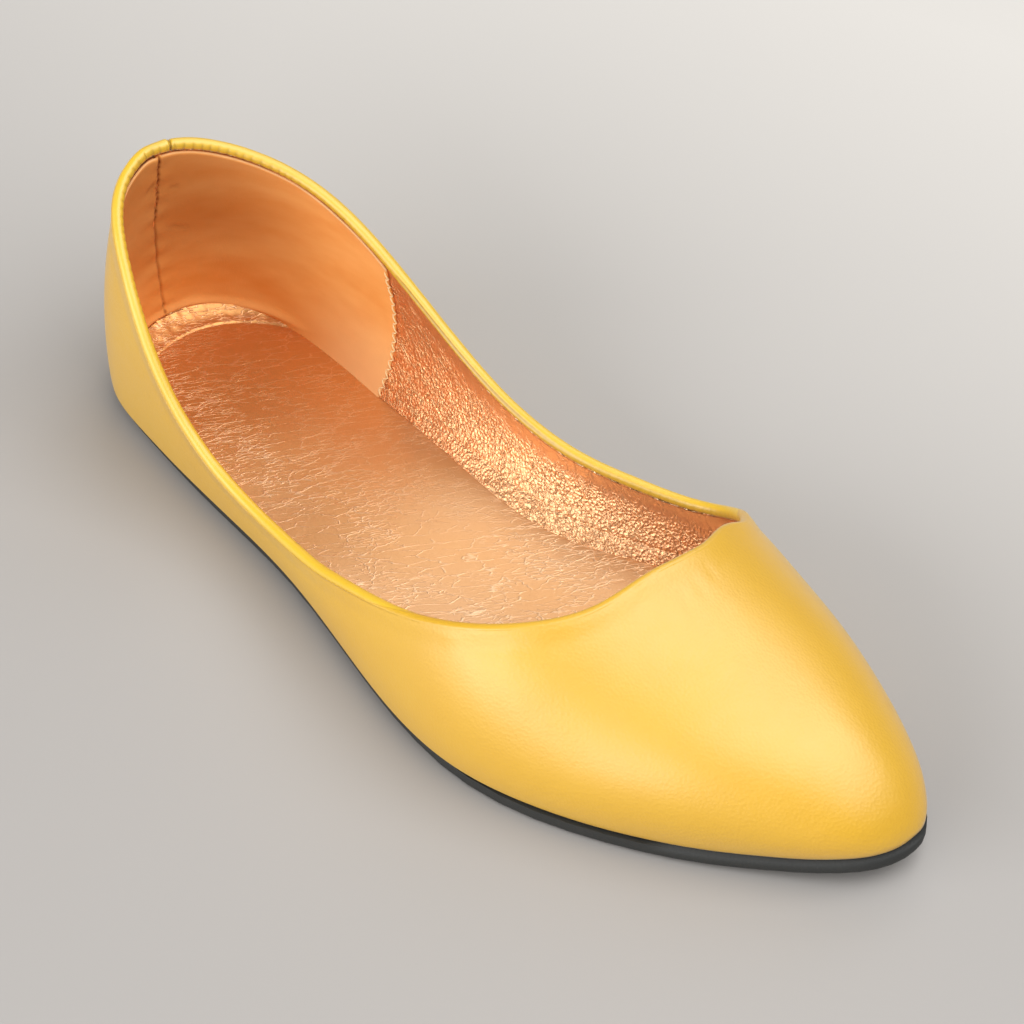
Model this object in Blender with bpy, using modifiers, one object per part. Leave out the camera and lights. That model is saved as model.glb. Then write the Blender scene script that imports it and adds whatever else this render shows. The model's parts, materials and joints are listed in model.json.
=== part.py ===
"""Ballet flat, right shoe: a pointed leather flat with a rolled topline and a thin rubber sole.

Frame: +X towards the toe, -Y the outer side, +Z up, origin under the middle of the shoe's box, on the floor.
The last is a table of half sections between the feather line, where the upper meets the sole, and the ridge.
"""
import math
from collections import namedtuple

import bpy
import numpy as np

# Driving sizes, in metres
LENGTH = 0.255
BALL_WIDTH = 0.083
WAIST_WIDTH = 0.064
HEEL_WIDTH = 0.054
BACK_HEIGHT = 0.078
INSTEP_HEIGHT = 0.053
TOE_HEIGHT = 0.028
SOLE_THICKNESS = 0.0042
TOE_SPRING = 0.0070
ARCH_RISE = 0.0015
WALL = 0.0018
INSOLE_THICKNESS = 0.0024
BINDING_DIAMETER = 0.0028
GAP = 0.0003
RIM_GAP = 0.0004

# Smaller forms, in metres
SOLE_MARGIN = 0.0007
SOLE_INSET = 0.0016
SOLE_EDGE_RADIUS = 0.0016
HEEL_TUCK = 0.0008
HEEL_TUCK_HEIGHT = 0.002
HEEL_LEAN = 0.0057
HEEL_TUCK_REACH = 0.064
INSOLE_TOE_SETBACK = 0.005
INSOLE_TOE_REACH = 0.030
INSOLE_EDGE_RADIUS = 0.0006

# Shares of the way round the half shoe where the upper's rays begin to fan out and are a full fan
FAN_START = 0.45
FAN_FULL = 0.75

# Mesh density: rays from heel to toe on each side, rings from the feather line to the topline, samples on
# each ray, and how many of them the ray's direction at the topline is read over
RAYS = 42
RINGS = 12
RING_CROWDING = 1.3
EDGE_STEPS = 3
RAY_SAMPLES = 97
TOPLINE_SAMPLES = 7
BINDING_RESOLUTION = 2
SHARP_ANGLE = math.radians(40)

# Sections of the last, from the heel to the toe. station is a share of LENGTH, measured from the heel.
# across names the width that the row's centre, half, ridge_side and belly columns are shares of.
# tall names the height that its ridge column is a share of, above the feather line.
# rise and shoulder are the handles of the half section's curve, as shares of its own height and half width.
Section = namedtuple(
    "Section", "station across centre half ridge_side belly_out belly_in tall ridge rise shoulder"
)
SECTIONS = [
    Section(0.000, HEEL_WIDTH, 0.000, 0.000, 0.000, 0.000, 0.000, BACK_HEIGHT, 1.00, 0.61, 0.89),
    Section(0.030, HEEL_WIDTH, -0.010, 0.355, 0.080, 0.045, 0.090, BACK_HEIGHT, 1.03, 0.51, 0.82),
    Section(0.100, HEEL_WIDTH, 0.008, 0.482, 0.080, 0.105, 0.240, BACK_HEIGHT, 1.01, 0.55, 0.92),
    Section(0.200, HEEL_WIDTH, -0.023, 0.511, 0.090, 0.133, 0.350, BACK_HEIGHT, 0.96, 0.56, 1.03),
    Section(0.350, WAIST_WIDTH, -0.086, 0.435, 0.100, 0.083, 0.440, BACK_HEIGHT, 0.77, 0.44, 0.89),
    Section(0.500, WAIST_WIDTH, -0.153, 0.505, 0.127, 0.058, 0.508, INSTEP_HEIGHT, 0.955, 0.49, 0.64),
    Section(0.620, BALL_WIDTH, -0.057, 0.493, 0.100, 0.058, 0.288, INSTEP_HEIGHT, 0.97, 0.52, 0.73),
    Section(0.740, BALL_WIDTH, 0.041, 0.499, 0.075, 0.086, 0.079, INSTEP_HEIGHT, 0.795, 0.56, 0.58),
    Section(0.840, BALL_WIDTH, 0.078, 0.386, 0.045, 0.094, 0.050, TOE_HEIGHT, 1.18, 0.645, 0.64),
    Section(0.920, BALL_WIDTH, 0.104, 0.255, 0.020, 0.090, 0.066, TOE_HEIGHT, 0.86, 0.58, 0.56),
    Section(0.975, BALL_WIDTH, 0.118, 0.141, 0.006, 0.051, 0.042, TOE_HEIGHT, 0.44, 0.58, 0.55),
    Section(1.000, BALL_WIDTH, 0.140, 0.000, 0.000, 0.000, 0.000, TOE_HEIGHT, 0.00, 0.58, 0.55),
]

# The sole: spring is a share of TOE_SPRING, arch of ARCH_RISE and thick of SOLE_THICKNESS. margin is a share
# of SOLE_MARGIN, by which the sole stands out past the upper, and inset one of SOLE_INSET, by which it lies
# back under the upper. Its underside lies on the floor under the seat and under the ball.
Tread = namedtuple("Tread", "station spring arch thick margin inset")
TREADS = [
    Tread(0.00, 0.06, 0.0, 1.00, 0.0, 0.8),
    Tread(0.04, 0.00, 0.0, 1.00, 0.0, 0.9),
    Tread(0.24, 0.00, 0.0, 1.00, 0.0, 1.0),
    Tread(0.40, 0.00, 1.0, 0.90, 0.0, 0.9),
    Tread(0.55, 0.00, 0.0, 1.00, 0.0, 1.0),
    Tread(0.74, 0.00, 0.0, 1.00, 1.0, 0.0),
    Tread(0.84, 0.09, 0.0, 1.05, 1.2, 0.0),
    Tread(0.92, 0.38, 0.0, 1.10, 1.0, 0.0),
    Tread(0.975, 0.76, 0.0, 1.15, 0.9, 0.0),
    Tread(1.00, 1.00, 0.0, 1.15, 0.9, 0.0),
]

# The topline on each side: ray counts round the half shoe from the back to the toe, station is a share of
# LENGTH, and over is how far up the half section it lies, from 0 at the feather line to 1 on the ridge.
Edge = namedtuple("Edge", "ray station over")
OUTER_TOPLINE = [
    Edge(0.00, 0.000, 0.64),
    Edge(0.11, 0.036, 0.56),
    Edge(0.22, 0.116, 0.40),
    Edge(0.33, 0.243, 0.183),
    Edge(0.42, 0.387, 0.232),
    Edge(0.48, 0.442, 0.30),
    Edge(0.60, 0.541, 0.438),
    Edge(0.74, 0.639, 0.613),
    Edge(0.86, 0.685, 0.77),
    Edge(1.00, 0.694, 1.00),
]
INNER_TOPLINE = [
    Edge(0.00, 0.000, 0.64),
    Edge(0.11, 0.026, 0.616),
    Edge(0.22, 0.108, 0.537),
    Edge(0.33, 0.257, 0.408),
    Edge(0.42, 0.370, 0.319),
    Edge(0.54, 0.525, 0.290),
    Edge(0.64, 0.625, 0.288),
    Edge(0.72, 0.681, 0.482),
    Edge(0.84, 0.689, 0.675),
    Edge(1.00, 0.694, 1.00),
]

OUTER = -1
INNER = 1


def turn(station):
    """Angle round a half circle from heel to toe: sections even in it close roundly at both ends."""
    return np.arccos(1 - 2 * np.clip(station, 0, 1))


def station_at(angle):
    return (1 - np.cos(angle)) / 2


def smooth(keys, values):
    """Curve through values that never overshoots them, so a flat stretch stays flat."""
    keys = np.array(keys, float)
    values = np.array(values, float)
    steps = np.diff(keys)
    grades = np.diff(values) / steps
    slopes = np.zeros(len(keys))
    slopes[0] = grades[0]
    slopes[-1] = grades[-1]
    for i in range(1, len(keys) - 1):
        before, after = grades[i - 1], grades[i]
        if before * after > 0:
            near = 2 * steps[i] + steps[i - 1]
            far = steps[i] + 2 * steps[i - 1]
            slopes[i] = (near + far) / (near / before + far / after)

    def read(key):
        i = np.clip(np.searchsorted(keys, key) - 1, 0, len(steps) - 1)
        u = np.clip((key - keys[i]) / steps[i], 0, 1)
        start = (1 + 2 * u) * (1 - u) ** 2 * values[i] + u * (1 - u) ** 2 * steps[i] * slopes[i]
        end = u * u * (3 - 2 * u) * values[i + 1] + u * u * (u - 1) * steps[i] * slopes[i + 1]
        return start + end

    return read


def fair(keys, values):
    """Curve through values like a bent batten: even curvature, free at both ends."""
    keys = np.array(keys, float)
    values = np.array(values, float)
    steps = np.diff(keys)
    grades = np.diff(values) / steps
    bends = np.zeros(len(keys))
    stiffness = np.diag(2 * (steps[:-1] + steps[1:])) + np.diag(steps[1:-1], 1) + np.diag(steps[1:-1], -1)
    bends[1:-1] = np.linalg.solve(stiffness, 6 * np.diff(grades))

    def read(key):
        i = np.clip(np.searchsorted(keys, key) - 1, 0, len(steps) - 1)
        u = np.clip((key - keys[i]) / steps[i], 0, 1)
        chord = values[i] * (1 - u) + values[i + 1] * u
        pull = ((1 - u) ** 3 - (1 - u)) * bends[i] + (u ** 3 - u) * bends[i + 1]
        return chord + pull * steps[i] ** 2 / 6

    return read


def column(rows, reading, curve=fair):
    """Curve of one column of a table, read by angle."""
    return curve([turn(row.station) for row in rows], [reading(row) for row in rows])


CENTRE = column(SECTIONS, lambda row: row.centre * row.across)
HALF = column(SECTIONS, lambda row: row.half * row.across)
RIDGE_SIDE = column(SECTIONS, lambda row: row.ridge_side * row.across)
BELLY = {
    OUTER: column(SECTIONS, lambda row: row.belly_out * row.across),
    INNER: column(SECTIONS, lambda row: row.belly_in * row.across),
}
RIDGE = column(SECTIONS, lambda row: row.ridge * row.tall)
RISE = column(SECTIONS, lambda row: row.rise)
SHOULDER = column(SECTIONS, lambda row: row.shoulder)
UNDERSIDE = column(TREADS, lambda row: row.spring * TOE_SPRING + row.arch * ARCH_RISE, smooth)
THICKNESS = column(TREADS, lambda row: row.thick * SOLE_THICKNESS, smooth)
MARGIN = column(TREADS, lambda row: row.margin * SOLE_MARGIN - row.inset * SOLE_INSET, smooth)


def sole_top(angle):
    return UNDERSIDE(angle) + THICKNESS(angle)


def last_point(angle, over, side):
    """Point of the last: a cubic curve from the feather line, out over the belly, to the ridge."""
    centre = CENTRE(angle)
    foot_y = centre + side * HALF(angle)
    foot_z = sole_top(angle) + GAP
    ridge_y = centre + RIDGE_SIDE(angle)
    belly_y = foot_y + side * BELLY[side](angle)
    shoulder_y = ridge_y + SHOULDER(angle) * (foot_y - ridge_y)
    low = 3 * (1 - over) ** 2 * over
    high = 3 * (1 - over) * over ** 2
    crest = over ** 3
    y = (1 - over) ** 3 * foot_y + low * belly_y + high * shoulder_y + crest * ridge_y
    lift = RIDGE(angle) * (low * RISE(angle) + high + crest)
    from_back = LENGTH * station_at(angle)
    back = np.clip(1 - from_back / HEEL_TUCK_REACH, 0, 1) ** 2
    tuck = HEEL_TUCK * np.exp(-lift / HEEL_TUCK_HEIGHT)
    lean = HEEL_LEAN * (lift / BACK_HEIGHT) ** 2
    x = from_back + (tuck + lean) * back
    return np.stack([x, y, foot_z + lift], axis=-1)


def skin_point(side, ray, up):
    """Point on the upper's outer face: up runs from 0 on the feather line to 1 on the topline.

    Rays on the quarters run straight up the last. Rays of the forefoot spread from the toe's tip like
    the ribs of a fan, in a half plane where the tip is the middle and the ridge stands upright.
    """
    table = OUTER_TOPLINE if side == OUTER else INNER_TOPLINE
    top_angle = fair([row.ray for row in table], [turn(row.station) for row in table])(ray)
    top_over = fair([row.ray for row in table], [row.over for row in table])(ray)
    foot_angle = math.pi * ray
    quarter_angle = foot_angle + (top_angle - foot_angle) * up
    quarter_over = top_over * up
    reach = math.pi - top_angle
    along = (math.pi - foot_angle) * (1 - up) + reach * np.cos(top_over * math.pi / 2) * up
    upright = reach * np.sin(top_over * math.pi / 2) * up
    fan_angle = math.pi - np.hypot(along, upright)
    fan_over = np.arctan2(upright, along) * 2 / math.pi
    share = np.clip((ray - FAN_START) / (FAN_FULL - FAN_START), 0, 1)
    share = share * share * (3 - 2 * share)
    angle = quarter_angle + (fan_angle - quarter_angle) * share
    over = quarter_over + (fan_over - quarter_over) * share
    return last_point(angle, over, side)


def around():
    """Sides and rays in order round the shoe: heel to toe on the outer side, then back on the inner side."""
    outer = [(OUTER, i / RAYS) for i in range(RAYS + 1)]
    inner = [(INNER, i / RAYS) for i in range(RAYS - 1, 0, -1)]
    return outer + inner


def skin_rays():
    """One fine line of points up each ray, and the lengths along it."""
    up = np.linspace(0, 1, RAY_SAMPLES)
    lines = np.array([skin_point(side, np.full(RAY_SAMPLES, ray), up) for side, ray in around()])
    pieces = np.linalg.norm(np.diff(lines, axis=1), axis=2)
    lengths = np.concatenate([np.zeros((len(lines), 1)), np.cumsum(pieces, axis=1)], axis=1)
    return lines, lengths


def topline_run(lines):
    """Direction along the topline where each ray meets it."""
    edge = lines[:, -1]
    run = np.roll(edge, -1, axis=0) - np.roll(edge, 1, axis=0)
    return run / np.linalg.norm(run, axis=1, keepdims=True)


def binding_route(lines, lengths):
    """Middle of the rolled strip: half its width below the topline and over the middle of the wall."""
    climb = lines[:, -1] - lines[:, -TOPLINE_SAMPLES]
    climb /= np.linalg.norm(climb, axis=1, keepdims=True)
    run = topline_run(lines)
    slant = np.linalg.norm(np.cross(run, climb), axis=1)
    depths = lengths[:, -1] - BINDING_DIAMETER / 2 / slant
    middle = np.array([along_ray(*ray) for ray in zip(lines, lengths, depths)])
    outwards = np.cross(run, lines[:, -1] - middle)
    outwards /= np.linalg.norm(outwards, axis=1, keepdims=True)
    return middle - outwards * WALL / 2


def clear_of(route, lines, lengths):
    """Length of each ray up to where the wall, through its thickness, comes within RIM_GAP of the strip."""
    nearest = BINDING_DIAMETER / 2 + RIM_GAP
    steps = np.roll(route, -1, axis=0) - route
    run = np.roll(lines, -1, axis=0) - np.roll(lines, 1, axis=0)
    outwards = np.cross(run, np.gradient(lines, axis=1))
    outwards /= np.linalg.norm(outwards, axis=2, keepdims=True)
    away = []
    for depth in (0, WALL / 2, WALL):
        offset = (lines - outwards * depth)[:, :, None] - route
        share = np.clip(np.sum(offset * steps, axis=3) / np.sum(steps * steps, axis=1), 0, 1)
        away.append(np.linalg.norm(offset - share[..., None] * steps, axis=3).min(axis=2))
    away = np.min(away, axis=0)
    ends = []
    for distance, length in zip(away, lengths):
        i = int(np.argmax(distance < nearest))
        ends.append(np.interp(-nearest, -distance[i - 1:i + 1], length[i - 1:i + 1]))
    return np.array(ends)


def along_ray(line, lengths, distance):
    return np.array([np.interp(distance, lengths, line[:, axis]) for axis in range(3)])


def new_object(name, mesh, material):
    for polygon in mesh.polygons:
        polygon.use_smooth = True
    mesh.set_sharp_from_angle(angle=SHARP_ANGLE)
    shape = bpy.data.objects.new(name, mesh)
    shape.data.materials.append(material)
    SHOE.objects.link(shape)
    return shape


def loft(name, rings, material, closed):
    """Quads between rings of points, with a strip of faces across the first and last ring if closed."""
    count = len(rings[0])
    half = count // 2
    faces = []
    for j in range(len(rings) - 1):
        for i in range(count):
            after = (i + 1) % count
            faces.append((j * count + i, j * count + after, (j + 1) * count + after, (j + 1) * count + i))
    if closed:
        last_ring = (len(rings) - 1) * count
        for i in range(half):
            strip = [i, i + 1, count - i - 1, (count - i) % count]
            strip = list(dict.fromkeys(strip))
            faces.append([last_ring + k for k in strip])
            faces.append(strip[::-1])
    mesh = bpy.data.meshes.new(name)
    mesh.from_pydata([tuple(point) for ring in rings for point in ring], [], faces)
    mesh.validate()
    return new_object(name, mesh, material)


def plain_material(name, colour, roughness):
    material = bpy.data.materials.new(name)
    material.use_nodes = True
    shader = material.node_tree.nodes["Principled BSDF"]
    shader.inputs["Base Color"].default_value = (*colour, 1)
    shader.inputs["Roughness"].default_value = roughness
    shader.inputs["Metallic"].default_value = 0
    return material


def feather_ring(grow, heights):
    """The feather line seen from above, moved outwards by grow, at the given heights."""
    places = around()
    angles = np.array([math.pi * ray for side, ray in places])
    foot = np.array([last_point(math.pi * ray, 0.0, side) for side, ray in places])[:, :2]
    run = np.roll(foot, -1, axis=0) - np.roll(foot, 1, axis=0)
    run /= np.linalg.norm(run, axis=1, keepdims=True)
    outwards = np.column_stack([run[:, 1], -run[:, 0]])
    plan = foot + outwards * np.reshape(grow(angles), (-1, 1))
    return np.column_stack([plan, heights(angles)])


def outsole():
    """Rubber sole: flat on the floor at the seat and the ball, with a rounded lower edge."""
    rings = []
    for step in range(EDGE_STEPS + 1):
        bend = math.pi / 2 * step / EDGE_STEPS
        inset = SOLE_EDGE_RADIUS * (1 - math.sin(bend))
        lift = SOLE_EDGE_RADIUS * (1 - math.cos(bend))
        rings.append(feather_ring(lambda a: MARGIN(a) - inset, lambda a: UNDERSIDE(a) + lift))
    rings.append(feather_ring(MARGIN, sole_top))
    return loft("outsole", rings, plain_material("black rubber", (0.03, 0.03, 0.03), 0.6), closed=True)


def upper(lines, lengths, route):
    """Leather shell: an open skin from the feather line to just under the binding, given its wall inwards."""
    ends = clear_of(route, lines, lengths)
    rings = [
        [along_ray(*ray) for ray in zip(lines, lengths, ends * (j / RINGS) ** RING_CROWDING)]
        for j in range(RINGS + 1)
    ]
    shell = loft("upper", rings, plain_material("yellow leather", (0.87, 0.55, 0.06), 0.4), closed=False)
    wall = shell.modifiers.new("wall", "SOLIDIFY")
    wall.thickness = WALL
    wall.offset = -1
    wall.use_even_offset = True
    wall.use_quality_normals = True
    return shell


def insole():
    """Padded sock on the sole, inside the wall, set back from the tip of the toe."""
    def setback(angles):
        from_toe = LENGTH * (1 - station_at(angles))
        tip = np.clip(1 - from_toe / INSOLE_TOE_REACH, 0, 1)
        return -(WALL + GAP) - INSOLE_TOE_SETBACK * tip
    rings = [
        feather_ring(setback, lambda a: sole_top(a) + GAP),
        feather_ring(setback, lambda a: sole_top(a) + GAP + INSOLE_THICKNESS - INSOLE_EDGE_RADIUS),
        feather_ring(
            lambda a: setback(a) - INSOLE_EDGE_RADIUS,
            lambda a: sole_top(a) + GAP + INSOLE_THICKNESS,
        ),
    ]
    return loft("insole", rings, plain_material("copper foil", (0.75, 0.36, 0.16), 0.35), closed=True)


def topline_binding(route):
    """Rolled strip on the upper's edge: a closed tube."""
    curve = bpy.data.curves.new("topline_binding", "CURVE")
    curve.dimensions = "3D"
    curve.bevel_depth = BINDING_DIAMETER / 2
    curve.bevel_resolution = BINDING_RESOLUTION
    spline = curve.splines.new("POLY")
    spline.points.add(len(route) - 1)
    for point, place in zip(spline.points, route):
        point.co = (*place, 1)
    spline.use_cyclic_u = True
    roll = bpy.data.objects.new("topline_binding", curve)
    curve.materials.append(plain_material("binding leather", (0.9, 0.6, 0.08), 0.4))
    SHOE.objects.link(roll)
    return roll


def stand_on_origin(shapes):
    """Move the shoe so that the middle of its box stands over the origin and its sole on the floor."""
    bpy.context.view_layer.update()
    graph = bpy.context.evaluated_depsgraph_get()
    corners = []
    for shape in shapes:
        solid = shape.evaluated_get(graph)
        mesh = solid.to_mesh()
        corners += [tuple(vertex.co) for vertex in mesh.vertices]
        solid.to_mesh_clear()
    corners = np.array(corners)
    low = corners.min(axis=0)
    high = corners.max(axis=0)
    for shape in shapes:
        shape.location = (-(low[0] + high[0]) / 2, -(low[1] + high[1]) / 2, -low[2])


for leftover in list(bpy.data.objects):
    bpy.data.objects.remove(leftover)
SHOE = bpy.data.collections.new("ballet_flat")
bpy.context.scene.collection.children.link(SHOE)

skin, skin_lengths = skin_rays()
strip_route = binding_route(skin, skin_lengths)
stand_on_origin([
    outsole(),
    upper(skin, skin_lengths, strip_route),
    insole(),
    topline_binding(strip_route),
])
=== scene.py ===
"""Ballet flat, right shoe: its looks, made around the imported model.

Metres, in the model's frame: +X towards the toe, -Y the outer side, +Z up, and the floor at z = 0.
A place on the upper is (around, up): around counts the rays from the heel over the outer side to the toe and
back over the inner side, and up runs from 0 at the feather line to 1 at the leather's upper edge.
"""
import json
import math
from collections import namedtuple

import bmesh
import bpy
import numpy as np
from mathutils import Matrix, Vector, noise

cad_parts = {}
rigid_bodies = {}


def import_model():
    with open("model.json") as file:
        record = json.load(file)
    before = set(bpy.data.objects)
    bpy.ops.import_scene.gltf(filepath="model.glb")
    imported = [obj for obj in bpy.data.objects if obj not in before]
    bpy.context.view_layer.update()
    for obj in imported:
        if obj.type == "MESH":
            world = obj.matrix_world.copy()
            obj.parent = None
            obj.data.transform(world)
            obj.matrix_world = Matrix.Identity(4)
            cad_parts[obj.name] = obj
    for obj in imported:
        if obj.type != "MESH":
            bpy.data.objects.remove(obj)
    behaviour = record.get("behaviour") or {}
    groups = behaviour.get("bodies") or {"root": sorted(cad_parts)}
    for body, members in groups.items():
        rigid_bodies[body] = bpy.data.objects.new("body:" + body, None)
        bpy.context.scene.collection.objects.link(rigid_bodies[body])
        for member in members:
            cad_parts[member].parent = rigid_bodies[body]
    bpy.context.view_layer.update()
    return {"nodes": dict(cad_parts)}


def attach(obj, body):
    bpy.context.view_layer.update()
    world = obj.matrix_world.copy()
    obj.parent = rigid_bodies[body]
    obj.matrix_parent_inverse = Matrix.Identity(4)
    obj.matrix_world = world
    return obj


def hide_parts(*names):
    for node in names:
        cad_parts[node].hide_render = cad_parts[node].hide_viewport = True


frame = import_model()

# Upper
# One piece of smooth calf, dyed yellow, drawn over the last in one go: no side seam. It swells a little where
# it wraps the topline, which it covers round the vamp, and is turned under at the feather line, on the sole.
WELD = 0.00001
RIM_ANGLE = math.radians(50)
LEATHER = 0.0010
ROLL_RADIUS = 0.0015
ROLL_LIFT = 0.0017
ROLL_INSET = 0.0009
SWELL_REACH = 0.0034
TUCK_HEIGHT = 0.0011
TUCK_DEPTH = 0.0008
SKIN_COLUMNS_PER_RAY = 5
SKIN_ROWS = 62
SKIN_ROWS_CROWD = 0.85
LIP_SHARES = (0.33, 0.66, 1.0)

# The throat's inner corner, in rays: it has columns of its own, and the edge is cut a little lower there
# than in the solid, so that it runs straight.
CORNER_FROM = 42
CORNER_TO = 48
CORNER_COLUMNS = 85
THROAT_CUT = 0.034
THROAT_CUT_AT = 44.8
THROAT_CUT_REACH = 3.5

# How far the leather turns over the roll, and where along the vamp that sets in on each side.
COVER_LEAST = math.radians(4)
COVER_TURN = math.radians(112)
COVER_RADIUS = 0.0016
COVER_ROWS = 8
COVER_FIRST_ROW = 0.1
OUTER_COVER_FROM = -0.005
OUTER_COVER_FADE = 0.030
INNER_COVER_FROM = 0.0400
INNER_COVER_FADE = 0.0065

# Real pores are about 0.2 mm apart, too fine to show, so they are drawn 0.8 mm apart.
CALF_YELLOW = "#E3B00E"
CALF_YELLOW_DEEP = "#DCA608"
DYE_DRIFT = 0.022
PORE = 0.0008
PORE_DEPTH = 0.00018
BROAD_GRAIN = 0.0045
BROAD_GRAIN_DEPTH = 0.0004


def pick(*shapes):
    """Selects these objects alone, with the first one active."""
    bpy.ops.object.select_all(action="DESELECT")
    for shape in shapes:
        shape.select_set(True)
    bpy.context.view_layer.objects.active = shapes[0]


def outer_face(node):
    """A welded copy of the upper's solid, cut at its rims, with only the outer face left."""
    copy = node.copy()
    copy.data = node.data.copy()
    bpy.context.collection.objects.link(copy)
    pick(copy)
    bpy.ops.object.mode_set(mode="EDIT")
    bpy.ops.mesh.select_mode(type="EDGE")
    bpy.ops.mesh.select_all(action="SELECT")
    bpy.ops.mesh.remove_doubles(threshold=WELD)
    bpy.ops.mesh.select_all(action="DESELECT")
    bpy.ops.mesh.edges_select_sharp(sharpness=RIM_ANGLE)
    bpy.ops.mesh.mark_seam()
    bpy.ops.mesh.select_mode(type="FACE")
    bpy.ops.mesh.select_all(action="DESELECT")
    bpy.ops.object.mode_set(mode="OBJECT")
    outermost = min(copy.data.polygons, key=lambda face: face.center.y)
    outermost.select = True
    bpy.ops.object.mode_set(mode="EDIT")
    bpy.ops.mesh.select_linked(delimit={"SEAM"})
    bpy.ops.mesh.select_all(action="INVERT")
    bpy.ops.mesh.delete(type="FACE")
    bpy.ops.object.mode_set(mode="OBJECT")
    return copy


def rings_of(face):
    """The face's points as rings from the feather line up, each from the heel over the outer side."""
    mesh = bmesh.new()
    mesh.from_mesh(face.data)
    near = {v: {e.other_vert(v) for e in v.link_edges} for v in mesh.verts}

    def in_order(start, allowed):
        run = [start]
        steps = sorted(near[start] & allowed, key=lambda v: v.co.y)
        while steps:
            run.append(steps[0])
            steps = [v for v in near[run[-1]] & allowed if v not in run]
        return run

    edge = {v for v in mesh.verts if v.is_boundary}
    foot = in_order(min(edge, key=lambda v: v.co.z), edge)
    ring = in_order(min(foot, key=lambda v: v.co.x), set(foot))
    rings = [ring]
    seen = set(ring)
    while True:
        above = {v for below in ring for v in near[below]} - seen
        if not above:
            break
        seen |= above
        run = in_order(min(above, key=lambda v: v.co.x), above)
        turns = [run[i:] + run[:i] for i in range(len(run))]
        turns += [turn[::-1] for turn in turns]
        ring = max(turns, key=lambda turn: sum(b in near[a] for a, b in zip(ring, turn)))
        rings.append(ring)
    points = np.array([[tuple(v.co) for v in ring] for ring in rings])
    mesh.free()
    return points


def bends(points, closed):
    """Curvature of a smooth curve at points one step apart along the second axis from the end."""
    count = points.shape[-2]
    stiffness = 4 * np.eye(count) + np.eye(count, k=1) + np.eye(count, k=-1)
    load = 6 * (np.roll(points, -1, axis=-2) - 2 * points + np.roll(points, 1, axis=-2))
    if closed:
        stiffness[0, -1] = stiffness[-1, 0] = 1
    else:
        stiffness[0, 1] = stiffness[-1, -2] = 0
        load[..., 0, :] = load[..., -1, :] = 0
    return np.linalg.solve(stiffness, load)


def on_curve(points, bend, index, share):
    """Points of the curve, a share of the way from each indexed point to the next."""
    count = points.shape[-2]
    after = (index + 1) % count
    start = np.take_along_axis(points, index[..., None], axis=-2)
    end = np.take_along_axis(points, after[..., None], axis=-2)
    start_bend = np.take_along_axis(bend, index[..., None], axis=-2)
    end_bend = np.take_along_axis(bend, after[..., None], axis=-2)
    share = share[..., None]
    chord = start * (1 - share) + end * share
    return chord + ((1 - share) ** 3 - (1 - share)) * start_bend / 6 + (share ** 3 - share) * end_bend / 6


face = outer_face(frame["nodes"]["upper"])
RINGS = rings_of(face)
bpy.data.objects.remove(face)
RAYS = RINGS.shape[1]
RING_BENDS = bends(RINGS, closed=True)
SMALL = 0.01


def skin_points(around, up):
    """Points on the upper's outer face: around is (n,), and up is (n, m)."""
    cut = THROAT_CUT * np.exp(-((around % RAYS - THROAT_CUT_AT) / THROAT_CUT_REACH) ** 2)
    up = up * (1 - cut[:, None])
    whole = np.floor(around).astype(int)
    index = np.broadcast_to(whole % RAYS, (len(RINGS), len(around)))
    share = np.broadcast_to(around - whole, index.shape)
    rays = on_curve(RINGS, RING_BENDS, index, share).transpose(1, 0, 2)
    height = np.clip(up, 0, 1) * (len(RINGS) - 1)
    below = np.minimum(height.astype(int), len(RINGS) - 2)
    return on_curve(rays, bends(rays, closed=False), below, height - below)


def unit(vectors):
    """The vectors' directions."""
    return vectors / np.linalg.norm(vectors, axis=-1, keepdims=True)


def skin(around, up):
    """Points on the outer face, and the directions out of it."""
    along = skin_points(around + SMALL, up) - skin_points(around - SMALL, up)
    climb = skin_points(around, np.minimum(up + SMALL, 1)) - skin_points(around, np.maximum(up - SMALL, 0))
    return skin_points(around, up), unit(np.cross(along, climb))


def topline(around):
    """The leather's upper edge: points, and the directions out of the face and up from the edge."""
    ones = np.ones((len(around), 1))
    points, outwards = skin(around, ones)
    run = unit(skin_points(around + SMALL, ones) - skin_points(around - SMALL, ones))
    return points[:, 0], outwards[:, 0], np.cross(outwards, run)[:, 0]


def soft(share):
    """Eases from 0 to 1."""
    share = np.clip(share, 0, 1)
    return share * share * (3 - 2 * share)


def gauss(distance, reach):
    """A bell that is 1 at no distance and has mostly gone at the reach."""
    return np.exp(-(distance / reach) ** 2)


def run_length(points):
    """How far along a line each of its points lies."""
    return np.cumsum(np.linalg.norm(np.diff(points, axis=0, prepend=points[:1]), axis=1))


def wander(points, size, seed=0.0):
    """Soft random heights between about -1 and 1, in lumps of the given size."""
    shift = Vector((seed, -seed, 2 * seed))
    flat = points.reshape(-1, 3) / size
    return np.array([noise.noise(Vector(p) + shift) for p in flat]).reshape(points.shape[:-1])


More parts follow.
